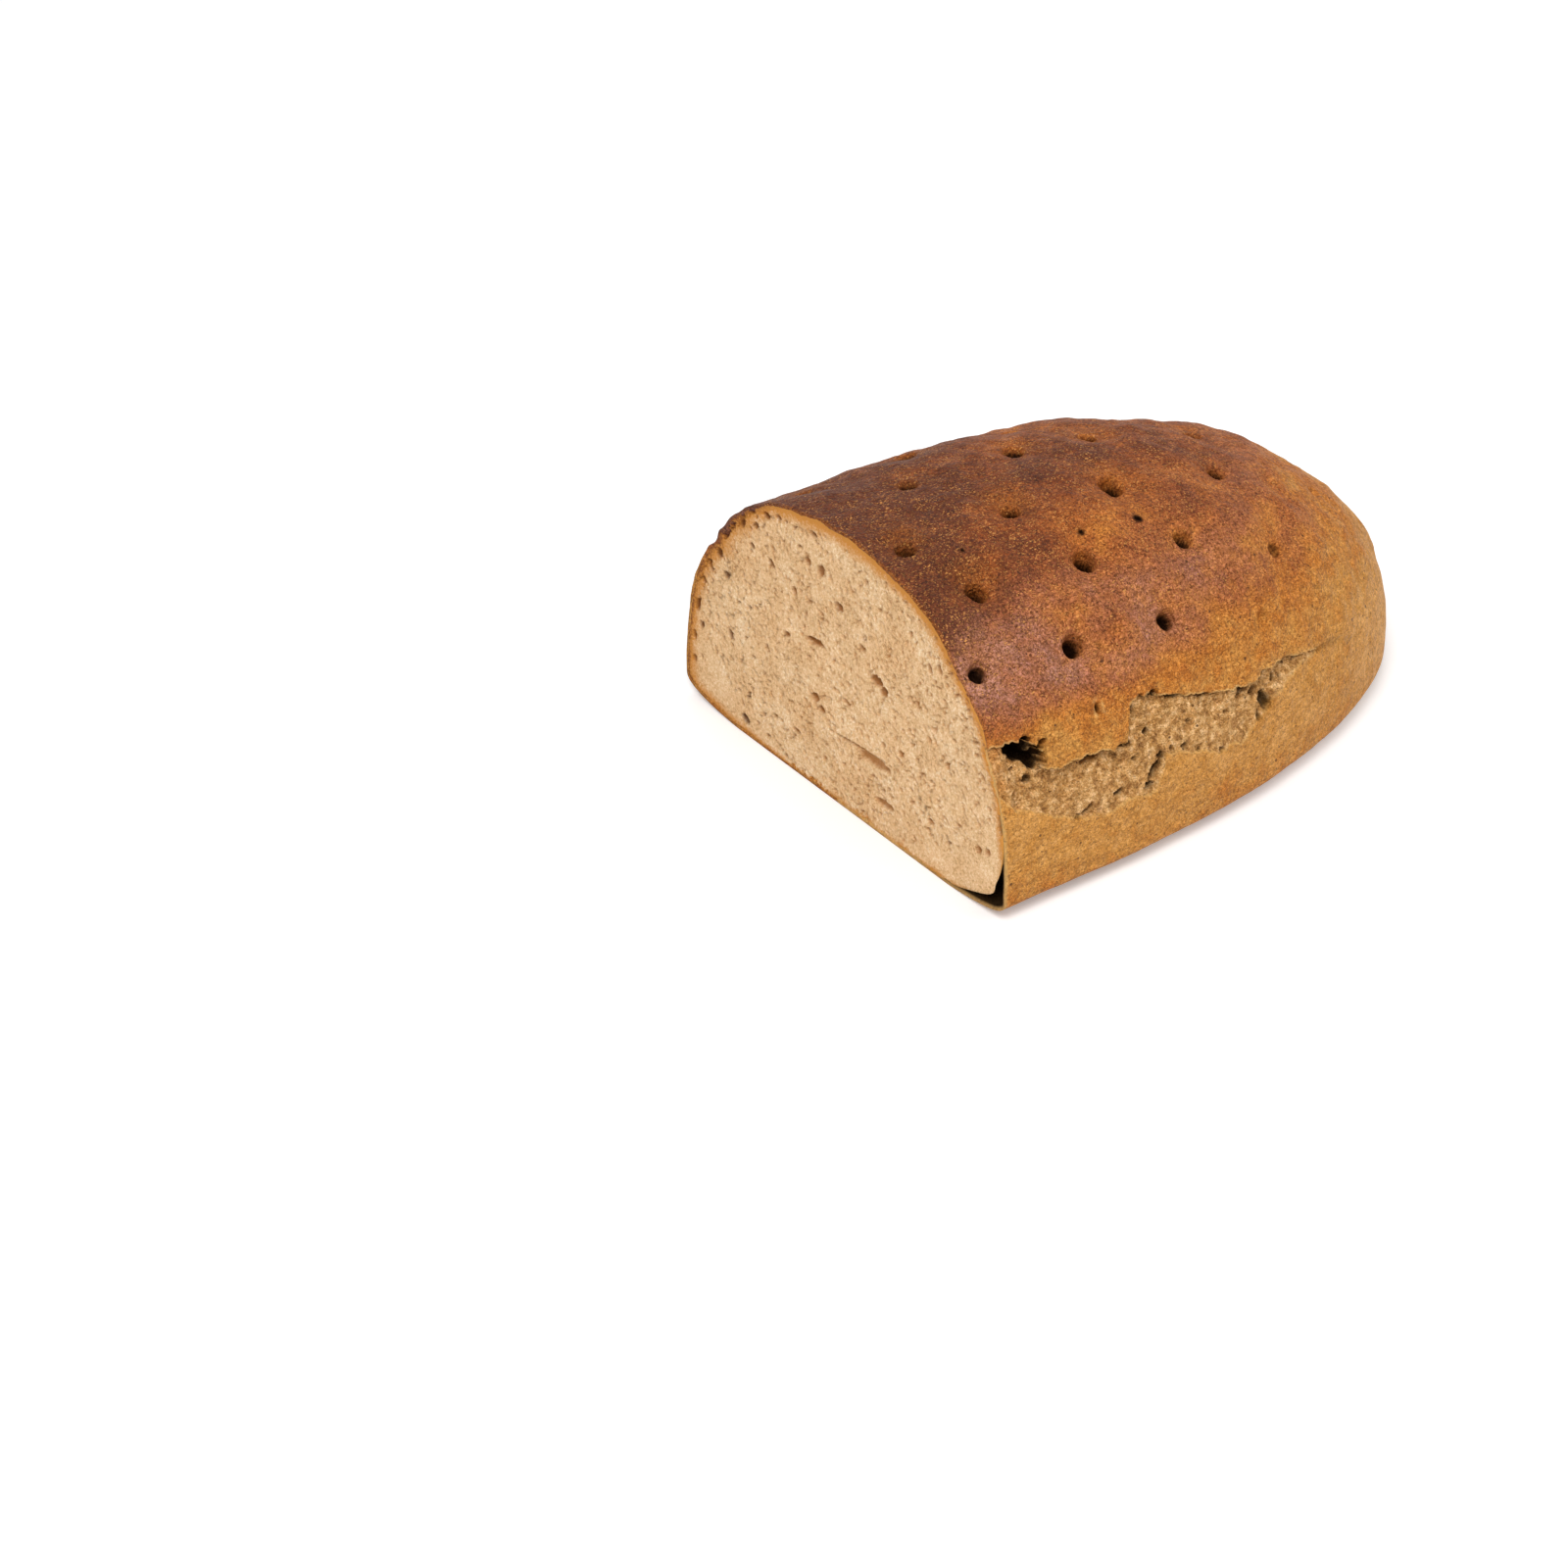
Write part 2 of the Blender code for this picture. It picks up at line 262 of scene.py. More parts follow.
def lipShape(point):  # the thin pale edges of skin on both sides of the split
    distance = point.x - cutX
    if point.y > 0 or distance > split["length"]:
        return 0
    top, foot = splitEdges(distance)
    share = 0.65 + 0.6 * grain(point, 3 * mm)
    if point.z > top:
        return share * (1 - softStep(0.25 * mm, 0.7 * mm, point.z - top))
    if point.z < foot:
        return 0.6 * share * (1 - softStep(0.2 * mm, 0.8 * mm, foot - point.z))
    return 0


def creaseShape(point):
    distance = point.x - cutX
    start, end = split["crease"][0][0] * mm, split["crease"][-1][0] * mm
    if point.y > 0 or not start < distance < end:
        return 0
    off = abs(point.z - along(split["crease"], distance) - 0.6 * mm * grain(point, 4 * mm))
    return (1 - softStep(0, 1.1 * mm, off)) * (1 - softStep(start, end, distance))


# crust

crust = {
    "steps": (160, 104, 50),   # along, across, up from the widest line
    "underSteps": 12,
    "lumps": ((24 * mm, 0.6 * mm), (10 * mm, 0.85 * mm), (4.5 * mm, 0.42 * mm), (2 * mm, 0.12 * mm)),
    "thickness": 1.2 * mm,
    "edgeSlope": 0.3 * mm,     # how far the cut edge leans back on its inner side
    "pocketDepth": 3.4 * mm,   # the crumb at the cut fills this pocket
    "pocketTaper": 2.0 * mm,
    "cornerDepth": 11 * mm,    # where the crust has come away from the crumb
    # small pits on the near side: distance, height, radius and depth
    "dimples": ((5.4, 31.5, 1.7, 0.9), (33, 44.9, 0.95, 1.9)),
    "shoulder": Vector((cutX, 52 * mm, 51 * mm)),
    "shoulderRadius": 5 * mm,
    "shoulderDepth": 1.3 * mm,
    "wrinkleHeight": 0.09 * mm,
    "creaseDepth": 0.5 * mm,   # of the fold that goes on behind the split
    # how brown the crust is at each height, and what adds to it; the lowest heights make it darker towards
    # the base
    "bake": ((0, 0.32), (8, 0.25), (15, 0.17), (27, 0.14), (33, 0.24), (42, 0.34), (50, 0.46), (60, 0.59),
             (72, 0.67), (77, 0.75)),
    "farBrowner": 0.17,
    "cutBrowner": 0.32,
    "heelPaler": 0.16,
    "blotches": ((17 * mm, 0.24), (6 * mm, 0.14)),   # size and strength of the uneven browning
    "burntSpecks": ((68.8, -27.8, 1.7), (52.1, -26.7, 1.1), (20.5, -20.3, 0.8)),   # distance, y and radius
}


def startingBox(bm):
    bmesh.ops.create_cube(bm, size=2)
    lowest = (-body["straight"] / heelLength, -1, -crust["underSteps"] / crust["steps"][2])
    for vert in bm.verts:
        vert.co = [max(place, least) for place, least in zip(vert.co, lowest)]
    cutFace = [face for face in bm.faces if all(vert.co.x < 0 for vert in face.verts)]
    bmesh.ops.delete(bm, geom=cutFace, context='FACES_ONLY')
    steps = (crust["steps"][0], crust["steps"][1], crust["steps"][2] + crust["underSteps"])
    for axis in range(3):
        edges = [edge for edge in bm.edges if abs(edge.verts[0].co[axis] - edge.verts[1].co[axis]) > 0.01]
        bmesh.ops.subdivide_edges(bm, edges=edges, cuts=steps[axis] - 1)


def onLoaf(place):
    up = place.z if place.z > 0 else place.z * crust["steps"][2] / crust["underSteps"]
    return bodyPoint(place.x, place.y, up)


def nearHole(point, found, margin):
    for mouth, _, radius, _ in found:
        if (point - mouth).length < radius + margin:
            return True
    return False


def nearSplit(point, margin):
    distance = point.x - cutX
    if point.y > 0 or distance > split["length"] + margin:
        return False
    return along(split["foot"], distance) - margin < point.z < along(split["top"], distance) + margin


def nearLip(point, margin):
    distance = point.x - cutX
    if point.y > 0 or distance > split["length"]:
        return False
    top, foot = splitEdges(distance)
    return min(abs(point.z - top), abs(point.z - foot) * 1.5) < margin


def inOpening(point):  # in a crack or in the cavity
    return crackShape(point) > 0.2 or cavityShape(point)[1] > 0


def nearSpeck(point):
    for x, y, radius in crust["burntSpecks"]:
        if (point - topPoint(x * mm, y * mm)).length < 2 * radius * mm:
            return True
    for distance, height, radius, _ in crust["dimples"]:
        away = math.hypot(point.x - cutX - distance * mm, point.z - height * mm)
        if point.y < 0 and away < 4 * radius * mm:
            return True
    return False


def refine(bm, wanted):
    edges = set()
    for face in bm.faces:
        if wanted(onLoaf(face.calc_center_median())):
            edges.update(face.edges)
    bmesh.ops.subdivide_edges(bm, edges=list(edges), cuts=1, use_grid_fill=True)


def browned(point):  # 0 is pale and golden, 1 is dark brown
    distance = point.x - cutX
    shade = float(np.interp(point.z / mm, *zip(*crust["bake"])))
    high = softStep(40 * mm, 62 * mm, point.z)
    shade += crust["farBrowner"] * high * softStep(-32 * mm, 16 * mm, point.y)
    shade += crust["cutBrowner"] * high * (1 - softStep(0, 50 * mm, distance))
    shade -= crust["heelPaler"] * softStep(110 * mm, 160 * mm, distance)
    (wide, wideShare), (narrow, narrowShare) = crust["blotches"]
    uneven = wideShare * grain(point + Vector((1, 0, 0)), wide) + narrowShare * grain(point, narrow)
    return max(shade + uneven * (0.4 + 0.6 * softStep(0.3, 0.6, shade)), 0)


def paintedSheenShape(point):  # painted sheen: a greyish painted reflection on the near shoulder
    band = softStep(45 * mm, 56 * mm, point.z) * (1 - softStep(60 * mm, 73 * mm, point.z))
    lengthwise = 1 - softStep(50 * mm, 100 * mm, point.x - cutX)
    side = 1 if point.y < 0 else 0.5
    return side * band * (0.25 + 0.75 * lengthwise) * (0.75 + 1.1 * grain(point, 13 * mm))


def dockingDents(point, found):  # the way the skin moves at the docking holes, the painted shade in their depths and how pale it is
    move = Vector()
    paintedShade = 0
    glow = 0
    for mouth, axis, radius, depth in found:
        away = point - mouth
        if away.length > 3 * holes["dishRadius"]:
            continue
        radial = (away - away.dot(axis) * axis).length
        radial *= 1 + 0.12 * grain(point, 3 * mm)
        core = 1 - softStep(holes["floorShare"] * radius, holes["mouthShare"] * radius, radial)
        dish = math.exp(-((radial / holes["dishRadius"]) ** 2))
        move -= axis * (core * depth + holes["dishDepth"] * dish * depth / holes["usualDepth"])
        # painted shade in the deep middle of each hole
        paintedShade = max(paintedShade, softStep(0.25, 0.62, core) * softStep(0.8 * mm, 2.6 * mm, depth))
        beside = (away - holes["glowShift"]).length / holes["glowRadius"]
        share = 0.7 + 1.2 * grain(mouth, 19 * mm)
        glow = max(glow, share * math.exp(-beside ** 2), core * (1 - core) * 3)
    return move, paintedShade, glow


def dimpleShape(point):  # depth, painted shade and pale ring of the small pits
    dent, paintedShade, lip = 0, 0, 0
    if point.y > 0:
        return dent, paintedShade, lip
    for distance, height, radius, depth in crust["dimples"]:
        away = math.hypot(point.x - cutX - distance * mm, 0.6 * (point.z - height * mm)) / (radius * mm)
        dent += depth * mm * (1 - softStep(0.3, 1.1, away))
        sharp = softStep(0.9, 1.6, depth)
        # painted shade in the pit, darker for deeper, sharper pits
        paintedShade = max(paintedShade, (0.25 + 0.7 * sharp) * (1 - softStep(0.3, 1.0, away)))
        ring = softStep(0.7, 1.1, away) * (1 - softStep(1.2, 2.0, away))
        lip = max(lip, sharp * ring * (0.15 + 1.2 * grain(point, 1.5 * mm)))
    return dent, paintedShade, lip


def shapeCrust(bm, rim, found, layers):
    bm.normal_update()
    moved = []
    specks = [(topPoint(x * mm, y * mm), radius * mm) for x, y, radius in crust["burntSpecks"]]
    for vert in bm.verts:
        point = vert.co.copy()
        normal = vert.normal.copy()
        if vert in rim:
            normal.x = 0
            normal.normalize()
        above = softStep(2 * body["widestHeight"], 5 * body["widestHeight"], point.z)
        swell = 0
        for size, height in crust["lumps"]:
            swell += height * grain(point, size) * max(above, 0.25 * softStep(0, 5 * mm, point.z))
        wrinkle = noise.noise(Vector((point.x / (28 * mm), 0.3, point.z / (2.2 * mm))))
        swell += crust["wrinkleHeight"] * wrinkle * (1 - above) * softStep(2 * mm, 8 * mm, point.z)
        shoulderAway = (point - crust["shoulder"]).length / crust["shoulderRadius"]
        swell -= crust["shoulderDepth"] * (1 - softStep(0, 1, shoulderAway))

        move, paintedShade, glow = dockingDents(point, found)
        dent, dimpleShade, lip = dimpleShape(point)
        torn, tornShare, tucked = tornShape(point)
        cavity, cavityShade = cavityShape(point)
        crease = creaseShape(point)
        crack = crackShape(point)
        depth = torn + split["cavityDepth"] * cavity + crack * mm
        move += normal * (swell - dent - depth - crust["creaseDepth"] * crease)
        if tornShare > 0:
            move.z += split["tuck"] * tucked * min(depth / (1.5 * mm), 1)
        if vert in rim:
            move.x = 0
            upper = softStep(44 * mm, 46 * mm, point.z)
            glow = max(glow, 1.2 * upper * (1 - softStep(10 * mm, 40 * mm, point.y)))
            if point.y < 0:
                lip = max(lip, 0.75 * (1 - upper))
        moved.append((vert, point + move))
        vert[layers["browning"]] = browned(point)
        # painted sheen, a greyish painted reflection on the near shoulder
        vert[layers["paintedSheen"]] = paintedSheenShape(point)
        vert[layers["torn"]] = tornShare
        # painted shade: docking holes, small pits, cavity, cracks and crease get darker with their depth
        vert[layers["paintedShade"]] = max(paintedShade, dimpleShade, cavityShade, min(crack / 2, 0.9), 0.5 * crease)
        vert[layers["lip"]] = max(lip, lipShape(point) * (1 - cavityShade))
        vert[layers["glow"]] = glow
        nearest = min((point - spot).length / radius for spot, radius in specks)
        vert[layers["burnt"]] = 1 - softStep(0.5, 1.2, nearest)
    for vert, place in moved:
        vert.co = place


def closeCut(bm, inward, layers):  # the crust's cut edge, a pocket for the crumb and its back wall
    edges = [edge for edge in bm.edges if edge.is_boundary]
    grown = bmesh.ops.extrude_edge_only(bm, edges=edges)
    ring = [item for item in grown["geom"] if isinstance(item, bmesh.types.BMVert)]
    tree = kdtree.KDTree(len(inward))
    for index, (place, _) in enumerate(inward):
        tree.insert(place, index)
    tree.balance()
    for vert in ring:
        normal = inward[tree.find(vert.co)[1]][1]
        # painted shade in the gap where crust and crumb part at the cut's corner
        vert[layers["paintedShade"]] = max(vert[layers["paintedShade"]], min(3 * cornerShare(vert.co, 2), 1))
        vert.co -= normal * crust["thickness"]
        vert.co.x += crust["edgeSlope"]
    edges = [edge for edge in bm.edges if edge.is_boundary]
    grown = bmesh.ops.extrude_edge_only(bm, edges=edges)
    ring = [item for item in grown["geom"] if isinstance(item, bmesh.types.BMVert)]
    for vert in ring:
        away = cornerShare(vert.co)
        vert.co -= inward[tree.find(vert.co)[1]][1] * crust["pocketTaper"] * (1 - away)
        vert.co.x += crust["pocketDepth"] + (crust["cornerDepth"] - crust["pocketDepth"]) * away
        # painted shade deeper in that gap
        vert[layers["paintedShade"]] = max(vert[layers["paintedShade"]], min(4 * cornerShare(vert.co, 2), 1))
    edges = [edge for edge in bm.edges if edge.is_boundary]
    bmesh.ops.edgeloop_fill(bm, edges=edges)


def cornerShare(point, wide=1):  # 1 at the cut's corner where crust and crumb part, falling to 0 round it
    middleY, middleZ = crumb["middle"]
    angle = math.degrees(math.atan2(point.z - middleZ, point.y - middleY))
    return math.exp(-(((angle - crumb["cornerAngle"]) / (wide * crumb["cornerSpread"])) ** 2))


def makeCrust():
    bm = bmesh.new()
    names = ("browning", "torn", "paintedShade", "glow", "burnt", "lip", "paintedSheen")
    layers = {name: bm.verts.layers.float.new(name) for name in names}
    startingBox(bm)
    found = dockingHoles()
    refine(bm, lambda point: nearHole(point, found, 2 * mm) or nearSplit(point, 2 * mm))
    refine(bm, lambda point: nearLip(point, 1 * mm) or inOpening(point))
    refine(bm, nearSpeck)
    rim = {vert for vert in bm.verts if vert.is_boundary}
    for vert in bm.verts:
        vert.co = onLoaf(vert.co)
    shapeCrust(bm, rim, found, layers)
    inward = []
    for vert in rim:
        normal = vert.normal.copy()
        normal.x = 0
        inward.append((vert.co.copy(), normal.normalized()))
    flat = [vert for vert in bm.verts if vert.co.z < 1e-7 and vert not in rim]
    inside = set(flat)
    edges = [edge for edge in bm.edges if edge.verts[0] in inside and edge.verts[1] in inside]
    bmesh.ops.dissolve_limit(bm, angle_limit=math.radians(0.02), verts=flat, edges=edges)
    closeCut(bm, inward, layers)
    bmesh.ops.recalc_face_normals(bm, faces=bm.faces[:])
    mesh = bpy.data.meshes.new("crust")
    bm.to_mesh(mesh)
    bm.free()
    mesh.shade_smooth()
    piece = bpy.data.objects.new("crust", mesh)
    bpy.context.scene.collection.objects.link(piece)
    return piece, [place for place, _ in inward]


# crumb at the cut

crumb = {
    "steps": (320, 205),
    "middle": (0, 36 * mm),
    "setBack": 0.02 * mm,      # from the cut to the crumb face
    "lowest": 0.25 * mm,
    "gap": 0.45 * mm,          # from the crust's outer edge to the crumb's
    "thickness": 3.2 * mm,
    "taper": 2.8 * mm,
    "cornerAngle": -153,       # where the crust has come away from the crumb, in degrees round the middle
    "cornerSpread": 8,
    "cornerGap": 4.5 * mm,
    # width in mm of the golden band along the crust, at least and what is added where
    "band": {"least": 0.95, "high": 1.3, "far": 1.5, "low": 0.7, "uneven": 0.6},
    "topToast": 0.35,          # how toasted the line along the top is, the far side is 1
    "faceDepth": 0.15 * mm,    # how far the face between the holes lies back, and its swells
    "swells": ((7 * mm, 0.10 * mm), (1.4 * mm, 0.09 * mm)),
    "leastBack": 0.2 * mm,     # thickness left behind the deepest holes
    "seed": 7,
    "fineHoles": 3800,
    "fineSpread": 0.985,
    "fineReach": 0.97,         # of the way from the middle to the outline
    "fineHeight": (0.22 * mm, 0.36 * mm),   # least half height, and what the largest has more
    "fineLonger": (1.0, 1.9),  # length over height
    "fineDeeper": (1.1, 2.4),  # depth over half height
    "flatFloor": 0.72,         # share of a large hole that is full depth, and of a fine one
    "roundFloor": 0.5,
    # y, z, half length, half height, turn in degrees and depth of the larger holes
    "largeHoles": (
        (-7.5, 20.3, 11.8, 0.5, -5, 0.9), (-13.6, 19.3, 7.0, 1.4, -2, 1.1),
        (-17.8, 9.2, 3.8, 1.2, -4, 1.1), (-14.0, 42.6, 2.7, 1.5, -10, 2.2),
        (-17.0, 41.0, 1.8, 1.4, -40, 2.8), (10.4, 25.6, 1.9, 1.3, -30, 1.8),
        (7.6, 23.4, 1.5, 1.0, -20, 2.4), (10.5, 41.5, 3.7, 1.0, -5, 1.8), (1.1, 55.8, 1.7, 1.3, 0, 2.2),
        (8.4, 62.4, 2.0, 1.3, -60, 1.7), (13.8, 62.7, 1.4, 1.2, -10, 1.6),
        (28.6, 55.1, 1.5, 1.1, 30, 1.6), (36.5, 56.4, 1.1, 1.0, -30, 1.6),
        (-34.3, 56.1, 1.5, 0.9, 60, 1.7), (-37.9, 57.7, 1.4, 0.9, 60, 1.7),
        (-54.3, 16, 0.9, 1.9, 10, 1.6), (-57.6, 17, 0.9, 1.7, 5, 1.6), (45.8, 26.1, 1.4, 1.1, 80, 1.8),
        (39.7, 4.2, 1.8, 1.4, 10, 3.0), (-2.5, 30.5, 1.6, 0.8, 15, 1.4), (-30, 44, 1.3, 0.8, 45, 1.4),
        (22, 38, 1.5, 0.8, -20, 1.3), (-24, 27, 1.2, 0.9, 5, 1.3), (-42, 33, 1.1, 0.8, 70, 1.3),
        (18, 12, 1.5, 0.8, 0, 1.3), (-36, 14, 1.4, 0.8, -10, 1.3), (30, 30, 1.2, 0.8, 30, 1.3),
        (-8, 49, 1.2, 0.9, 10, 1.4), (19, 52, 1.1, 0.9, -30, 1.4), (30.5, 67.6, 1.5, 0.9, -20, 2.2),
        (47.6, 54.9, 1.8, 1.3, -45, 2.4), (50.3, 47.8, 1.6, 1.2, -60, 2.2),
        (34.8, 62.8, 1.2, 0.9, -30, 1.6), (60, 28.2, 1.9, 1.0, -80, 1.6), (11.4, 71.2, 1.3, 0.9, -5, 1.6),
        (40.5, 60.6, 1.3, 0.9, -35, 1.6), (25.5, 69.2, 1.2, 0.8, -15, 1.6),
        (61.4, 18.5, 1.5, 0.9, 90, 1.6), (54.3, 42.5, 1.9, 1.0, 60, 1.5), (58.6, 22.8, 1.3, 0.8, 90, 1.3),
        (44.2, 58.6, 1.1, 0.9, -35, 1.3), (57.2, 37.0, 1.4, 0.9, 70, 1.5),
        (61.6, 11.5, 1.2, 0.8, 90, 1.4), (36.2, 66.4, 1.2, 0.8, -30, 1.8), (31, 58.5, 0.5, 0.4, 0, 1.3),
        (20.1, 57.2, 0.6, 0.4, 0, 1.2), (14.2, 62.6, 1.0, 0.9, 0, 1.5), (47.7, 42.6, 1.3, 1.0, 60, 1.8),
        (-61.8, 26.8, 2.8, 0.75, 84, 2.5), (-59.4, 31.2, 0.8, 0.5, 80, 1.3),
        (-54.9, 36.6, 0.9, 0.7, 20, 1.2), (58.3, 13.6, 0.8, 0.5, 90, 1.2), (20.8, 45.5, 0.5, 0.4, 0, 1.0),
        (46.1, 26.7, 1.2, 0.7, 80, 1.2),
    ),
}


def outlineRadius(rimPlaces):
    middleY, middleZ = crumb["middle"]
    angles = [math.atan2(place.z - middleZ, place.y - middleY) for place in rimPlaces]
    radii = [math.hypot(place.z - middleZ, place.y - middleY) for place in rimPlaces]
    order = np.argsort(angles)
    return np.array(angles)[order], np.array(radii)[order]


def makeCrumb(rimPlaces):
    bm = bmesh.new()
    stepsAcross, stepsUp = crumb["steps"]
    bmesh.ops.create_grid(bm, x_segments=stepsAcross, y_segments=stepsUp, size=1)
    rimDistance = bm.verts.layers.float.new("rimDistance")
    holeDepth = bm.verts.layers.float.new("holeDepth")
    bandWidth = bm.verts.layers.float.new("bandWidth")
    toasted = bm.verts.layers.float.new("toasted")
    angles, radii = outlineRadius(rimPlaces)
    middleY, middleZ = crumb["middle"]
    halfY, halfZ = loafWidth / 2, body["height"] / 2
    band = crumb["band"]
    for vert in bm.verts:
        share = max(abs(vert.co.x), abs(vert.co.y))
        angle = math.atan2(vert.co.y * halfZ, vert.co.x * halfY)
        overY, overZ = math.cos(angle), math.sin(angle)
        rimRadius = float(np.interp(angle, angles, radii, period=2 * math.pi))
        edge = Vector((0, middleY + rimRadius * overY, middleZ + rimRadius * overZ))
        gap = crumb["gap"] + crumb["cornerGap"] * cornerShare(edge)
        radius = share * (rimRadius - gap)
        vert[rimDistance] = (rimRadius - radius) / mm
        place = Vector((cutX + crumb["setBack"], middleY + radius * overY, middleZ + radius * overZ))
        place.z = max(place.z, crumb["lowest"])
        high = softStep(25 * mm, 60 * mm, place.z)
        far = softStep(20 * mm, 50 * mm, place.y)
        low = softStep(30 * mm, 52 * mm, -place.y) * (1 - softStep(28 * mm, 40 * mm, place.z))
        width = band["least"] + band["high"] * high + band["far"] * far + band["low"] * low
        vert[bandWidth] = width + band["uneven"] * grain(place, 5 * mm)
        topToast = crumb["topToast"] * softStep(40 * mm, 70 * mm, place.z)
        vert[toasted] = max(topToast, softStep(10 * mm, 45 * mm, place.y))
        vert.co = place
    print("crumb face laid out, %d points" % len(bm.verts))
    cutHoles(bm, holeDepth)
    edges = [edge for edge in bm.edges if edge.is_boundary]
    grown = bmesh.ops.extrude_edge_only(bm, edges=edges)
    ring = [item for item in grown["geom"] if isinstance(item, bmesh.types.BMVert)]
    middle = Vector((0, *crumb["middle"]))
    for vert in ring:   # narrower at the back, clear of the split and the holes near the cut
        outward = (vert.co - middle) * Vector((0, 1, 1))
        vert.co -= outward.normalized() * crumb["taper"]
        # the slab's sides take the dark toasted pore colour: painted shade where they show in the gaps
        vert[toasted] = 1
        vert[holeDepth] = 2
        vert.co.x = cutX + crumb["thickness"]
    edges = [edge for edge in bm.edges if edge.is_boundary]
    bmesh.ops.edgeloop_fill(bm, edges=edges)
    bmesh.ops.recalc_face_normals(bm, faces=bm.faces[:])
    mesh = bpy.data.meshes.new("cutCrumb")
    bm.to_mesh(mesh)
    bm.free()
    mesh.shade_smooth()
    piece = bpy.data.objects.new("cutCrumb", mesh)
    bpy.context.scene.collection.objects.link(piece)
    return piece


def cutHoles(bm, holeDepth):
    draw = random.Random(crumb["seed"])
    places = []
    for y, z, halfLength, halfHeight, turn, depth in crumb["largeHoles"]:
        sizes = (halfLength * mm, halfHeight * mm, math.radians(turn), depth * mm)
        places.append((y * mm, z * mm, *sizes, crumb["flatFloor"]))
    middleY, middleZ = crumb["middle"]
    leastHeight, moreHeight = crumb["fineHeight"]
    for _ in range(crumb["fineHoles"]):
        angle = draw.uniform(-math.pi, math.pi)
        share = math.sqrt(draw.random()) * crumb["fineSpread"]
        y = middleY + share * loafWidth / 2 * math.cos(angle) * crumb["fineReach"]
        z = middleZ + share * body["height"] / 2 * math.sin(angle) * crumb["fineReach"]
        halfHeight = leastHeight + moreHeight * draw.random() ** 2.5
        halfLength = halfHeight * draw.uniform(*crumb["fineLonger"])
        around = math.atan2((z - middleZ) * 2, y - middleY) + math.pi / 2
        turn = around * share ** 2 + draw.gauss(0, 0.7)
        depth = halfHeight * draw.uniform(*crumb["fineDeeper"])
        places.append((y, z, halfLength, halfHeight, turn, depth, crumb["roundFloor"]))
    verts = bm.verts[:]
    tree = kdtree.KDTree(len(verts))
    for index, vert in enumerate(verts):
        tree.insert(Vector((0, vert.co.y, vert.co.z)), index)
    tree.balance()
    depths = [0.0] * len(verts)
    for y, z, halfLength, halfHeight, turn, depth, floorShare in places:
        cosTurn, sinTurn = math.cos(turn), math.sin(turn)
        for place, index, _ in tree.find_range(Vector((0, y, z)), 1.3 * halfLength):
            overY, overZ = place.y - y, place.z - z
            lengthwise = (overY * cosTurn + overZ * sinTurn) / halfLength
            crosswise = (overZ * cosTurn - overY * sinTurn) / halfHeight
            away = math.hypot(lengthwise, crosswise) + 0.22 * grain((0, place.y, place.z), 0.9 * mm)
            depths[index] = max(depths[index], depth * (1 - softStep(floorShare, 1.1, away)))
    for vert, depth in zip(verts, depths):
        if vert.is_boundary:
            depth = 0
        point = Vector((0, vert.co.y, vert.co.z))
        swell = sum(height * grain(point, size) for size, height in crumb["swells"])
        vert[holeDepth] = depth / mm
        vert.co.x += min(depth + crumb["faceDepth"] + swell, crumb["thickness"] - crumb["leastBack"])


# finishes

def newMaterial(name):
    material = bpy.data.materials.new(name)
    material.use_nodes = True
    nodes = material.node_tree.nodes
    shader = nodes["Principled BSDF"]
    return material, nodes, material.node_tree.links, shader


def attributeNode(nodes, name):
    node = nodes.new("ShaderNodeAttribute")
    node.attribute_name = name
    return node.outputs["Fac"]


def noiseNode(nodes, links, coordinates, scale, detail=2.0, roughness=0.5, distortion=0.0):
    node = nodes.new("ShaderNodeTexNoise")
    node.inputs["Distortion"].default_value = distortion
    node.inputs["Scale"].default_value = scale
    node.inputs["Detail"].default_value = detail
    node.inputs["Roughness"].default_value = roughness
    links.new(coordinates, node.inputs["Vector"])
    return node.outputs["Fac"]


def mathNode(nodes, links, operation, first, second=None, clamp=False):
    node = nodes.new("ShaderNodeMath")
    node.operation = operation
    node.use_clamp = clamp
    for socket, value in zip(node.inputs, (first, second)):
        if value is None:
            continue
        if isinstance(value, (int, float)):
            socket.default_value = value
        else:
            links.new(value, socket)
    return node.outputs[0]


def rampNode(nodes, links, value, stops):
    node = nodes.new("ShaderNodeValToRGB")
    ramp = node.color_ramp
    while len(ramp.elements) < len(stops):
        ramp.elements.new(0.5)
    for element, (place, colour) in zip(ramp.elements, stops):
        element.position = place
        element.color = colour
    links.new(value, node.inputs["Fac"])
    return node.outputs["Color"]


def rangeNode(nodes, links, value, low, high, newLow=0.0, newHigh=1.0):
    node = nodes.new("ShaderNodeMapRange")
    node.inputs["From Min"].default_value = low
    node.inputs["From Max"].default_value = high
    node.inputs["To Min"].default_value = newLow
    node.inputs["To Max"].default_value = newHigh
    links.new(value, node.inputs["Value"])
    return node.outputs["Result"]


def mixNode(nodes, links, share, first, second, blend='MIX'):
    node = nodes.new("ShaderNodeMix")
    node.data_type = 'RGBA'
    node.blend_type = blend
    factor, colourA, colourB = node.inputs[0], node.inputs[6], node.inputs[7]
    for socket, value in ((factor, share), (colourA, first), (colourB, second)):
        if isinstance(value, (int, float, tuple)):
            socket.default_value = value
        else:
            links.new(value, socket)
    return node.outputs[2]


def bumpNode(nodes, links, height, distance, strength, normal=None):
    node = nodes.new("ShaderNodeBump")
    node.inputs["Distance"].default_value = distance
    node.inputs["Strength"].default_value = strength
    links.new(height, node.inputs["Height"])
    if normal is not None:
        links.new(normal, node.inputs["Normal"])
    return node.outputs["Normal"]


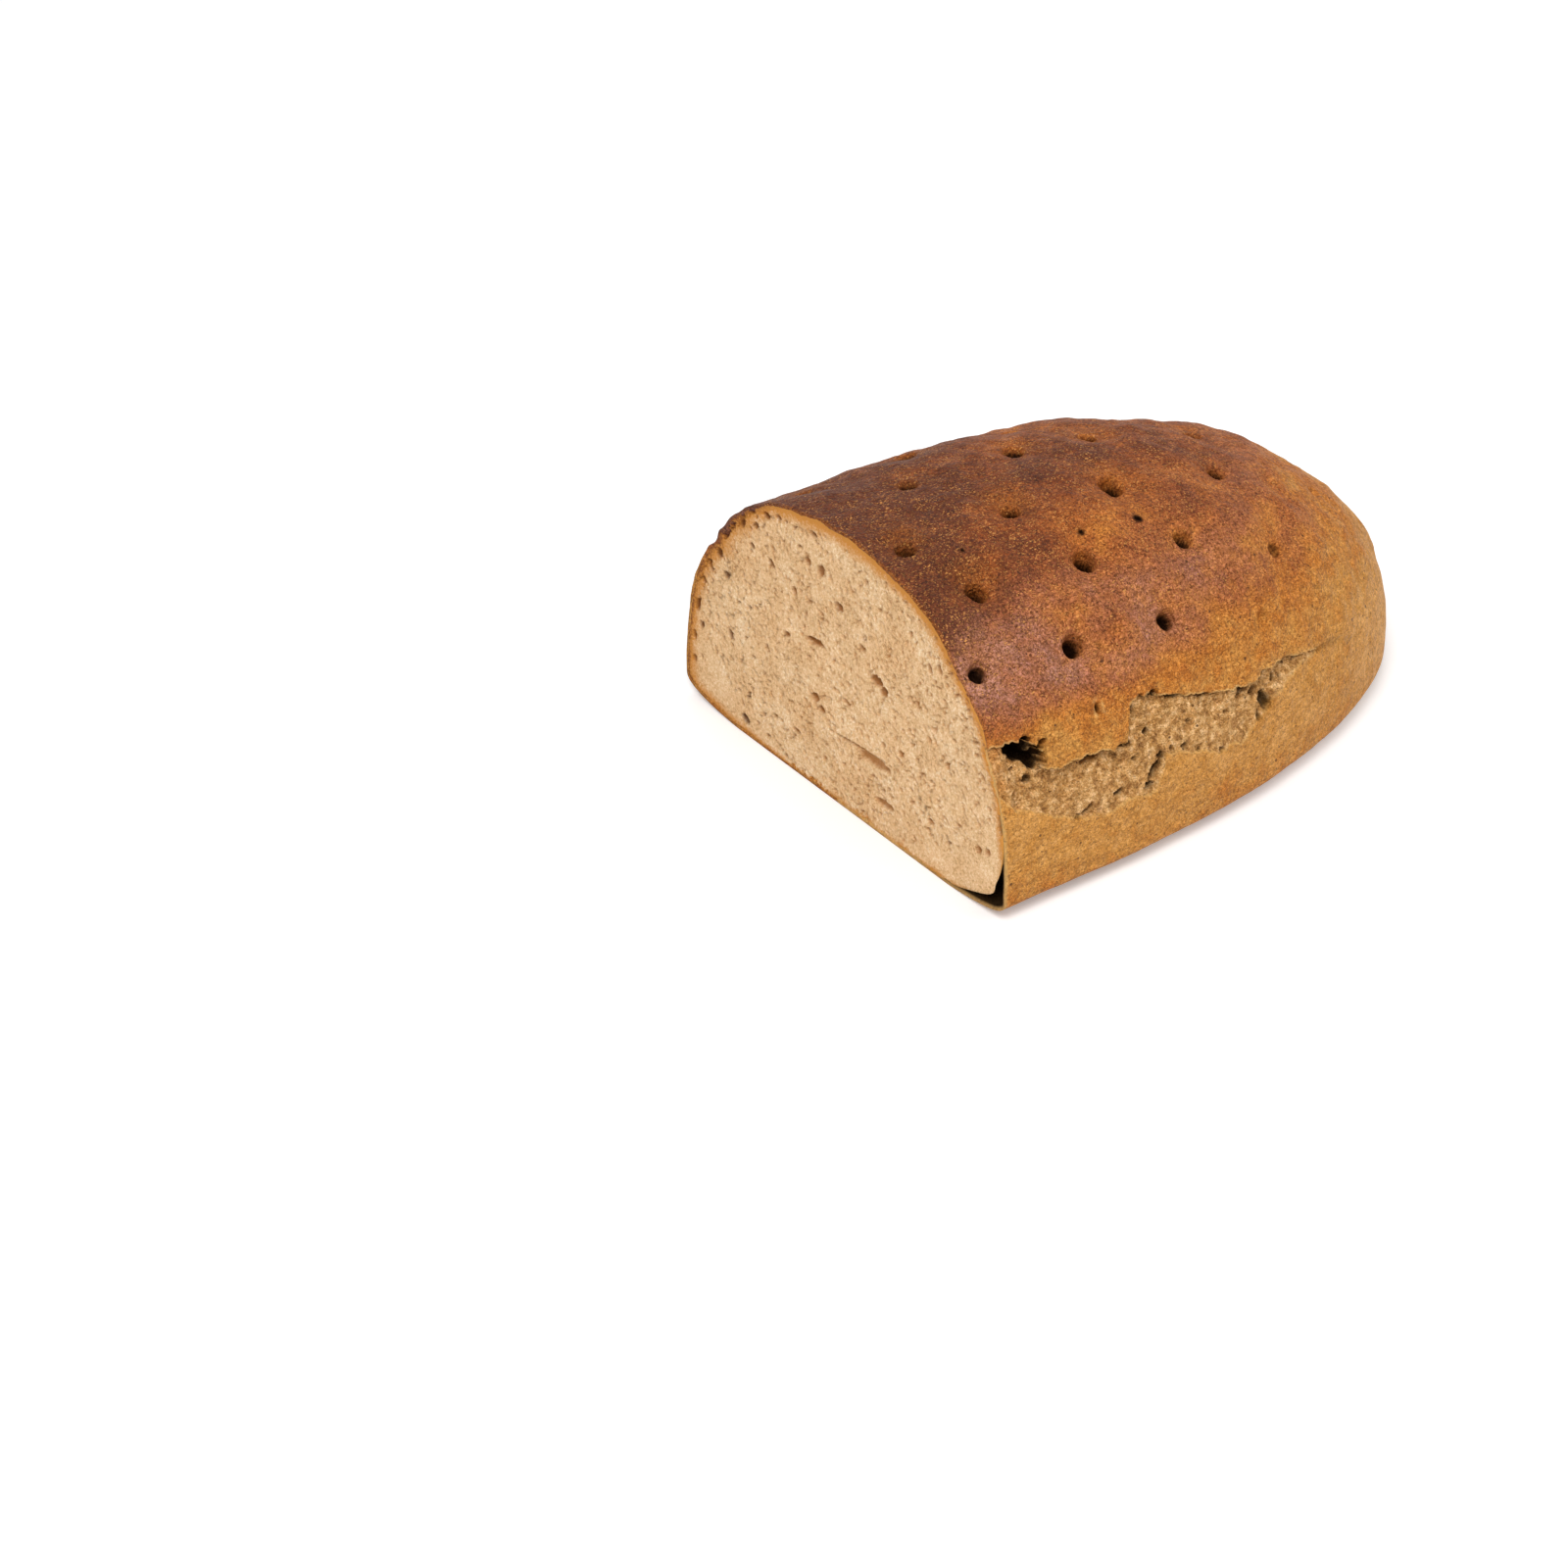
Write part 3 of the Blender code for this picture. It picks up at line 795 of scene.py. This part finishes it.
crustLook = {
    "stops": (
        (0.00, linear(214, 154, 80)),
        (0.20, linear(198, 136, 60)),
        (0.40, linear(186, 112, 38)),
        (0.60, linear(160, 86, 30)),
        (0.80, linear(126, 61, 21)),
        (1.00, linear(94, 43, 16)),
    ),
    # colour of the painted sheen, a greyish painted reflection on the near shoulder
    "paintedSheen": linear(168, 113, 87),
    "glow": linear(172, 96, 28),
    "torn": (linear(138, 92, 46), linear(198, 146, 84), linear(238, 192, 132)),
    # near-black for painted shade in holes, cracks and gaps, and for the real burnt specks
    "shadeAndBurnt": linear(22, 12, 7),
    # pale flecks, partly bran and partly painted glints
    "branAndGlint": linear(230, 160, 84),
    "speck": linear(66, 36, 18),
    "lip": linear(240, 194, 122),
    "sheen": 0.18,
    # how fine each pattern is
    "mottleScale": 260,
    "grainScale": 1500,
    "streakScale": 900,
    "lumpScale": 480,
    "tornScale": 420,
    "crowdScale": 160,
    "spotScale": 330,
    "flecks": ((900, (1, 2.6, 1.6), 0.4), (1300, (2.4, 1, 1.8), 1.3), (1700, (1, 1.5, 1), 2.2)),
    # what the grain multiplies the colour by, from its low to its high places; besides the crust's grain,
    # its low end paints tiny shade and its blue-lifted high end tiny glints
    "grain": ((0.34, (0.34, 0.27, 0.16, 1)), (0.5, (0.97, 0.97, 0.97, 1)), (0.66, (1.65, 1.85, 2.5, 1))),
    "streaks": ((0.36, (0.84, 0.81, 0.74, 1)), (0.5, (1, 1, 1, 1)), (0.64, (1.10, 1.13, 1.22, 1))),
}


def turnedNode(nodes, links, coordinates, stretch, turn):
    mapping = nodes.new("ShaderNodeMapping")
    mapping.inputs["Scale"].default_value = stretch
    mapping.inputs["Rotation"].default_value = turn
    links.new(coordinates, mapping.inputs["Vector"])
    return mapping.outputs["Vector"]


def cellsNode(nodes, links, coordinates, scale):  # the distance to each cell's middle and two draws for it
    cells = nodes.new("ShaderNodeTexVoronoi")
    cells.inputs["Scale"].default_value = scale
    links.new(coordinates, cells.inputs["Vector"])
    draws = nodes.new("ShaderNodeSeparateColor")
    links.new(cells.outputs["Color"], draws.inputs["Color"])
    return cells.outputs["Distance"], draws.outputs[0], draws.outputs[1]


def crustMaterial():
    material, nodes, links, shader = newMaterial("bakedCrust")
    coordinates = nodes.new("ShaderNodeTexCoord").outputs["Object"]
    browning = attributeNode(nodes, "browning")
    torn = attributeNode(nodes, "torn")
    paintedShade = attributeNode(nodes, "paintedShade")
    glow = attributeNode(nodes, "glow")
    # painted shade in holes, pits, cracks, the cavity, the crease and the gap at the cut
    burnt = attributeNode(nodes, "burnt")
    lip = attributeNode(nodes, "lip")

    mottle = noiseNode(nodes, links, coordinates, crustLook["mottleScale"], 3, 0.6)
    fine = noiseNode(nodes, links, coordinates, crustLook["grainScale"], 2, 0.7, 1.0)
    shade = mathNode(nodes, links, 'ADD', browning, rangeNode(nodes, links, mottle, 0.3, 0.7, -0.11, 0.11))
    colour = rampNode(nodes, links, shade, crustLook["stops"])

    # painted reflection: a greyish sheen on the near shoulder, only on browned crust
    paintedSheenShare = mathNode(nodes, links, 'MULTIPLY', attributeNode(nodes, "paintedSheen"),
                          rangeNode(nodes, links, mottle, 0.3, 0.7, 0.35, 0.95))
    brownOnly = rangeNode(nodes, links, browning, 0.3, 0.5)
    paintedSheenShare = mathNode(nodes, links, 'MULTIPLY', paintedSheenShare, brownOnly, True)
    colour = mixNode(nodes, links, paintedSheenShare, colour, crustLook["paintedSheen"])
    glowShare = mathNode(nodes, links, 'MULTIPLY', glow, 0.45, True)
    colour = mixNode(nodes, links, glowShare, colour, crustLook["glow"])

    # torn crumb in the split
    low, middle, high = crustLook["torn"]
    tornNoise = noiseNode(nodes, links, coordinates, crustLook["tornScale"], 4, 0.7)
    tornColour = rampNode(nodes, links, tornNoise, ((0.32, low), (0.5, middle), (0.68, high)))
    colour = mixNode(nodes, links, torn, colour, tornColour)

    # grain and fine streaks over all of it, pale flecks that are partly bran and partly painted glints,
    # and a few dark specks
    grainShare = rangeNode(nodes, links, browning, 0.15, 0.6, 0.5, 1.0)
    grainColour = rampNode(nodes, links, fine, crustLook["grain"])
    colour = mixNode(nodes, links, grainShare, colour, grainColour, 'MULTIPLY')
    lengthways = turnedNode(nodes, links, coordinates, (0.25, 1, 1), (0, 0.12, 0))
    streaks = noiseNode(nodes, links, lengthways, crustLook["streakScale"], 3, 0.6, 0.8)
    streakColour = rampNode(nodes, links, streaks, crustLook["streaks"])
    colour = mixNode(nodes, links, 1.0, colour, streakColour, 'MULTIPLY')
    crowd = noiseNode(nodes, links, coordinates, crustLook["crowdScale"], 3, 0.6)
    crowd = rangeNode(nodes, links, crowd, 0.35, 0.65, 0.2, 1.0)
    moreOnBrown = rangeNode(nodes, links, browning, 0.1, 0.7, 0.4, 0.85)
    for scale, stretch, turn in crustLook["flecks"]:
        askew = turnedNode(nodes, links, coordinates, stretch, (0.3, 0.2, turn))
        away, firstDraw, secondDraw = cellsNode(nodes, links, askew, scale)
        size = rangeNode(nodes, links, secondDraw, 0.0, 1.0, 0.14, 0.46)
        core = mathNode(nodes, links, 'LESS_THAN', away, size)
        bright = rangeNode(nodes, links, firstDraw, 0.5, 1.0, 0, 1.0)
        fleck = mathNode(nodes, links, 'MULTIPLY', mathNode(nodes, links, 'MULTIPLY', core, bright), crowd)
        fleck = mathNode(nodes, links, 'MULTIPLY', fleck, moreOnBrown)
        colour = mixNode(nodes, links, fleck, colour, crustLook["branAndGlint"])
        dark = rangeNode(nodes, links, firstDraw, 0.0, 0.3, 0.5, 0)
        dark = mathNode(nodes, links, 'MULTIPLY', core, dark)
        colour = mixNode(nodes, links, dark, colour, crustLook["speck"])
    away, firstDraw = cellsNode(nodes, links, coordinates, crustLook["spotScale"])[:2]
    size = rangeNode(nodes, links, firstDraw, 0.2, 1.0, 0.02, 0.14)
    spot = mathNode(nodes, links, 'LESS_THAN', away, size)
    spotShare = mathNode(nodes, links, 'MULTIPLY', spot, 0.8)
    colour = mixNode(nodes, links, spotShare, colour, crustLook["speck"])

    lipShare = mathNode(nodes, links, 'MULTIPLY', lip, 0.8, True)
    colour = mixNode(nodes, links, lipShare, colour, crustLook["lip"])
    # painted shade, together with the real burnt specks
    shadeAndBurntShare = mathNode(nodes, links, 'MAXIMUM', mathNode(nodes, links, 'MULTIPLY', paintedShade, 0.97), burnt)
    colour = mixNode(nodes, links, shadeAndBurntShare, colour, crustLook["shadeAndBurnt"])
    links.new(colour, shader.inputs["Base Color"])

    rough = rangeNode(nodes, links, mottle, 0.3, 0.7, 0.52, 0.68)
    rough = mathNode(nodes, links, 'MAXIMUM', rough, mathNode(nodes, links, 'MULTIPLY', torn, 0.9))
    links.new(rough, shader.inputs["Roughness"])
    sheen = rangeNode(nodes, links, shadeAndBurntShare, 0, 1, crustLook["sheen"], 0)
    links.new(sheen, shader.inputs["Specular IOR Level"])
    normal = bumpNode(nodes, links, fine, 0.35 * mm, 1.0)
    lumpy = noiseNode(nodes, links, coordinates, crustLook["lumpScale"], 3, 0.65, 0.8)
    normal = bumpNode(nodes, links, lumpy, 0.8 * mm, 0.9, normal)
    normal = bumpNode(nodes, links, streaks, 0.4 * mm, 0.7, normal)
    normal = bumpNode(nodes, links, mottle, 2.2 * mm, 0.8, normal)
    links.new(normal, shader.inputs["Normal"])
    return material


crumbLook = {
    "stops": (
        (0.36, linear(172, 124, 76)),
        (0.45, linear(221, 178, 128)),
        (0.55, linear(237, 199, 153)),
        (0.64, linear(255, 232, 198)),
    ),
    "warm": (1.02, 0.96, 0.89, 1),   # what warmer patches multiply the colour by
    "mottleScale": 150,
    "grainScale": 1400,
    "warmScale": 70,
    "hole": (linear(162, 102, 44), linear(96, 50, 20)),   # pore walls, darkened as painted shade, in pale and in toasted crumb
    "golden": linear(202, 132, 50),
    # the outermost line on the near side and on the far side
    "rim": (linear(232, 160, 72), linear(112, 58, 26)),
}


def crumbMaterial():
    material, nodes, links, shader = newMaterial("ryeCrumb")
    coordinates = nodes.new("ShaderNodeTexCoord").outputs["Object"]
    rimDistance = attributeNode(nodes, "rimDistance")
    bandWidth = attributeNode(nodes, "bandWidth")
    holeDepth = attributeNode(nodes, "holeDepth")
    toasted = attributeNode(nodes, "toasted")
    mottle = noiseNode(nodes, links, coordinates, crumbLook["mottleScale"], 3, 0.6)
    fine = noiseNode(nodes, links, coordinates, crumbLook["grainScale"], 4, 0.85)
    shade = mathNode(nodes, links, 'ADD', mathNode(nodes, links, 'MULTIPLY', mottle, 0.25),
                     mathNode(nodes, links, 'MULTIPLY', fine, 0.75))
    colour = rampNode(nodes, links, shade, crumbLook["stops"])
    warmth = noiseNode(nodes, links, coordinates, crumbLook["warmScale"], 2, 0.5)
    warmth = rangeNode(nodes, links, warmth, 0.4, 0.65, 0, 0.45)
    colour = mixNode(nodes, links, warmth, colour, crumbLook["warm"], 'MULTIPLY')

    # the crust's cut edge: a line outside, golden inside, fading into the crumb
    ratio = mathNode(nodes, links, 'DIVIDE', rimDistance, bandWidth)
    uneven = rangeNode(nodes, links, fine, 0.3, 0.7, -0.5, 0.5)
    ratio = mathNode(nodes, links, 'ADD', ratio, uneven)
    goldenShare = rangeNode(nodes, links, ratio, 0.8, 2.3, 0.95, 0)
    colour = mixNode(nodes, links, goldenShare, colour, crumbLook["golden"])
    pale, dark = crumbLook["rim"]
    rimColour = mixNode(nodes, links, toasted, pale, dark)
    rimShare = rangeNode(nodes, links, ratio, 0.25, 0.8, 0.9, 0)
    colour = mixNode(nodes, links, rimShare, colour, rimColour)
    # painted shade deepening with a pore's depth, over the pores' own darker colour
    inHole = rangeNode(nodes, links, holeDepth, 0.1, 1.1, 0, 0.8)
    colour = mixNode(nodes, links, inHole, colour, mixNode(nodes, links, toasted, *crumbLook["hole"]))
    links.new(colour, shader.inputs["Base Color"])

    shader.inputs["Roughness"].default_value = 0.85
    shader.inputs["Specular IOR Level"].default_value = 0.2
    shader.inputs["Subsurface Weight"].default_value = 0.1
    shader.inputs["Subsurface Scale"].default_value = 1.5 * mm
    shader.inputs["Subsurface Radius"].default_value = (1.0, 0.6, 0.35)
    normal = bumpNode(nodes, links, fine, 0.35 * mm, 0.7)
    links.new(normal, shader.inputs["Normal"])
    return material


# stage

stage = {
    "cameraAzimuth": -36.36,
    "cameraElevation": 33.55,
    "cameraDistance": 0.9974,
    "cameraAim": Vector((cutX - 9.4 * mm, 10.1 * mm, 4.0 * mm)),
    "viewAngle": 22,
    "worldLight": 0.40,
    "lamps": (
        # name, azimuth, elevation, distance, size and power
        ("keyLamp", -52, 50, 1.3, 0.6, 10.5),
        ("sideLamp", 40, 42, 1.4, 0.8, 5),
        ("topLamp", 160, 65, 1.4, 0.8, 4),
    ),
}


def direction(azimuth, elevation):
    turn, rise = math.radians(azimuth), math.radians(elevation)
    return Vector((math.sin(turn) * math.cos(rise), -math.cos(turn) * math.cos(rise), math.sin(rise)))


def makeCamera():
    camera = bpy.data.objects.new("camera", bpy.data.cameras.new("camera"))
    camera.data.angle = math.radians(stage["viewAngle"])
    back = direction(stage["cameraAzimuth"], stage["cameraElevation"])
    camera.location = stage["cameraAim"] + back * stage["cameraDistance"]
    camera.rotation_euler = back.to_track_quat('Z', 'Y').to_euler()
    bpy.context.scene.collection.objects.link(camera)
    bpy.context.scene.camera = camera


def makeLamps():
    middle = Vector((0, 0, body["height"] / 2))
    for name, azimuth, elevation, distance, size, power in stage["lamps"]:
        data = bpy.data.lights.new(name, 'AREA')
        data.size = size
        data.energy = power
        lamp = bpy.data.objects.new(name, data)
        back = direction(azimuth, elevation)
        lamp.location = middle + back * distance
        lamp.rotation_euler = back.to_track_quat('Z', 'Y').to_euler()
        bpy.context.scene.collection.objects.link(lamp)


def seenRays(nodes, links):  # 1 for what the camera sees, straight or in a reflection
    path = nodes.new("ShaderNodeLightPath")
    seen = mathNode(nodes, links, 'MAXIMUM', path.outputs["Is Camera Ray"], path.outputs["Is Glossy Ray"])
    return mathNode(nodes, links, 'MAXIMUM', seen, path.outputs["Is Transmission Ray"])


def makeWorld():
    world = bpy.data.worlds.new("studio")
    bpy.context.scene.world = world
    world.use_nodes = True
    nodes, links = world.node_tree.nodes, world.node_tree.links
    background = nodes["Background"]
    background.inputs["Color"].default_value = (1, 1, 1, 1)
    strength = rangeNode(nodes, links, seenRays(nodes, links), 0, 1, stage["worldLight"], 1)
    links.new(strength, background.inputs["Strength"])


def makeFloor():
    bm = bmesh.new()
    bmesh.ops.create_grid(bm, x_segments=1, y_segments=1, size=6)
    bmesh.ops.translate(bm, verts=bm.verts[:], vec=(0, 0, lowCorner.z - 0.05 * mm))
    mesh = bpy.data.meshes.new("floor")
    bm.to_mesh(mesh)
    bm.free()
    floor = bpy.data.objects.new("floor", mesh)
    bpy.context.scene.collection.objects.link(floor)
    material, nodes, links, shader = newMaterial("paleFloor")
    shader.inputs["Base Color"].default_value = (0.9, 0.9, 0.9, 1)
    shader.inputs["Roughness"].default_value = 0.9
    shader.inputs["Specular IOR Level"].default_value = 0
    shader.inputs["Emission Color"].default_value = (1, 1, 1, 1)
    lift = rangeNode(nodes, links, seenRays(nodes, links), 0, 1, 0, 0.22)
    links.new(lift, shader.inputs["Emission Strength"])
    mesh.materials.append(material)


bpy.context.scene.view_settings.view_transform = 'Standard'
makeCamera()
makeLamps()
makeWorld()
makeFloor()
print("stage ready")

crustPiece, rimPlaces = makeCrust()
crustPiece.data.materials.append(crustMaterial())
print("crust made, %d faces" % len(crustPiece.data.polygons))
crumbPiece = makeCrumb(rimPlaces)
crumbPiece.data.materials.append(crumbMaterial())
print("crumb made, %d faces" % len(crumbPiece.data.polygons))

for piece in (crustPiece, crumbPiece):
    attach(piece, "root")
    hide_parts("loaf")
